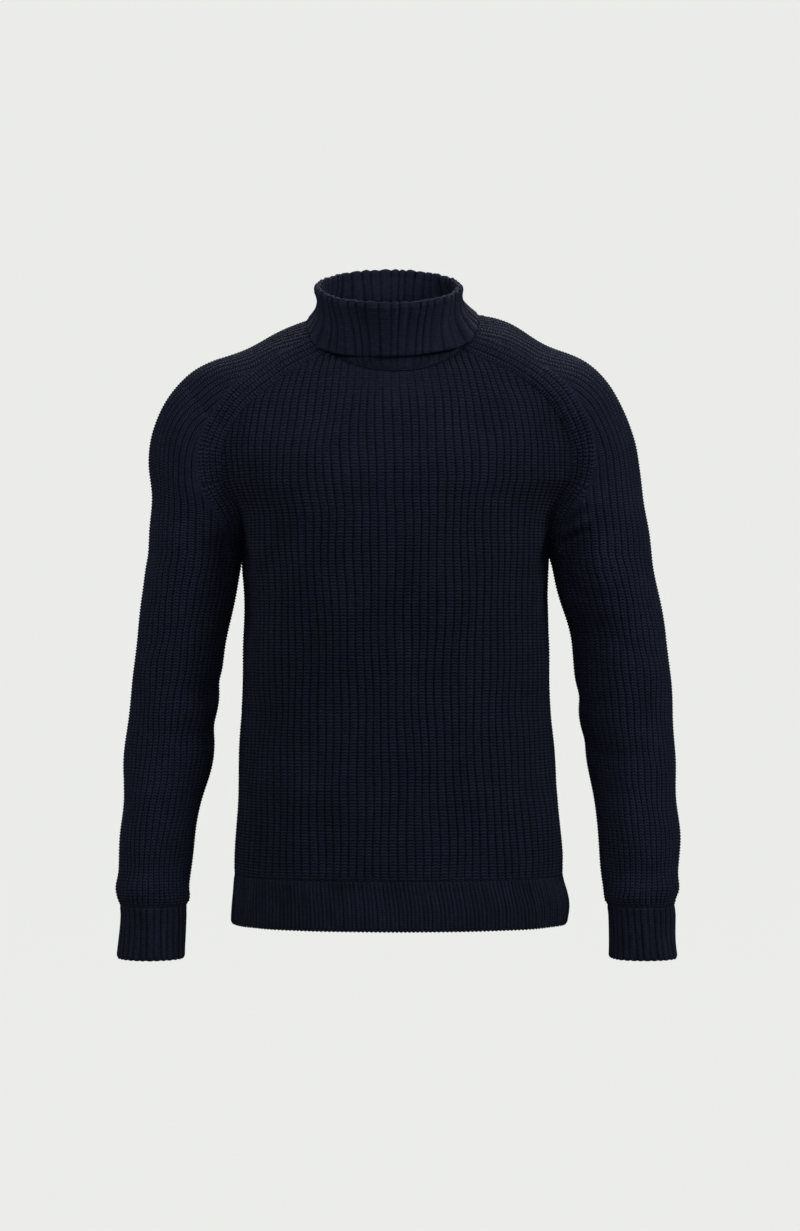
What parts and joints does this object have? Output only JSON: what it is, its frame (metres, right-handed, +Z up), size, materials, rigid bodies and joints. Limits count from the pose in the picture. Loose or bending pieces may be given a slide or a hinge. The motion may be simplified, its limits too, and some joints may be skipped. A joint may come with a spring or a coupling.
{
  "type": "turtleneck sweater",
  "caption": "Ribbed knit turtleneck sweater with raglan sleeves and a folded-over collar, hollow and filled out as worn, open at neck, hem and cuffs.",
  "frame": {"origin": "middle of the neck base, level with the highest part of the shoulders' neck edge, where the wearer's neck and shoulders carry the garment", "axes": "+Z up, -Y out of the front, +X towards the viewer's right as the front is seen"},
  "size_m": [0.6274, 0.2428, 0.774],
  "materials": {
    "body_knit": "matt dark navy wool, half cardigan rib",
    "sleeve_knit": "matt dark navy wool, half cardigan rib",
    "trim_rib": "matt dark navy wool, fine one by one rib",
    "collar_rib": "matt dark navy wool, wide rib"
  },
  "bodies": {
    "root": {"front": "body_knit", "back": "body_knit", "sleeve_left": "sleeve_knit", "sleeve_right": "sleeve_knit", "cuff_left": "trim_rib", "cuff_right": "trim_rib", "hem_band": "trim_rib", "collar": "collar_rib"}
  },
  "joints": []
}
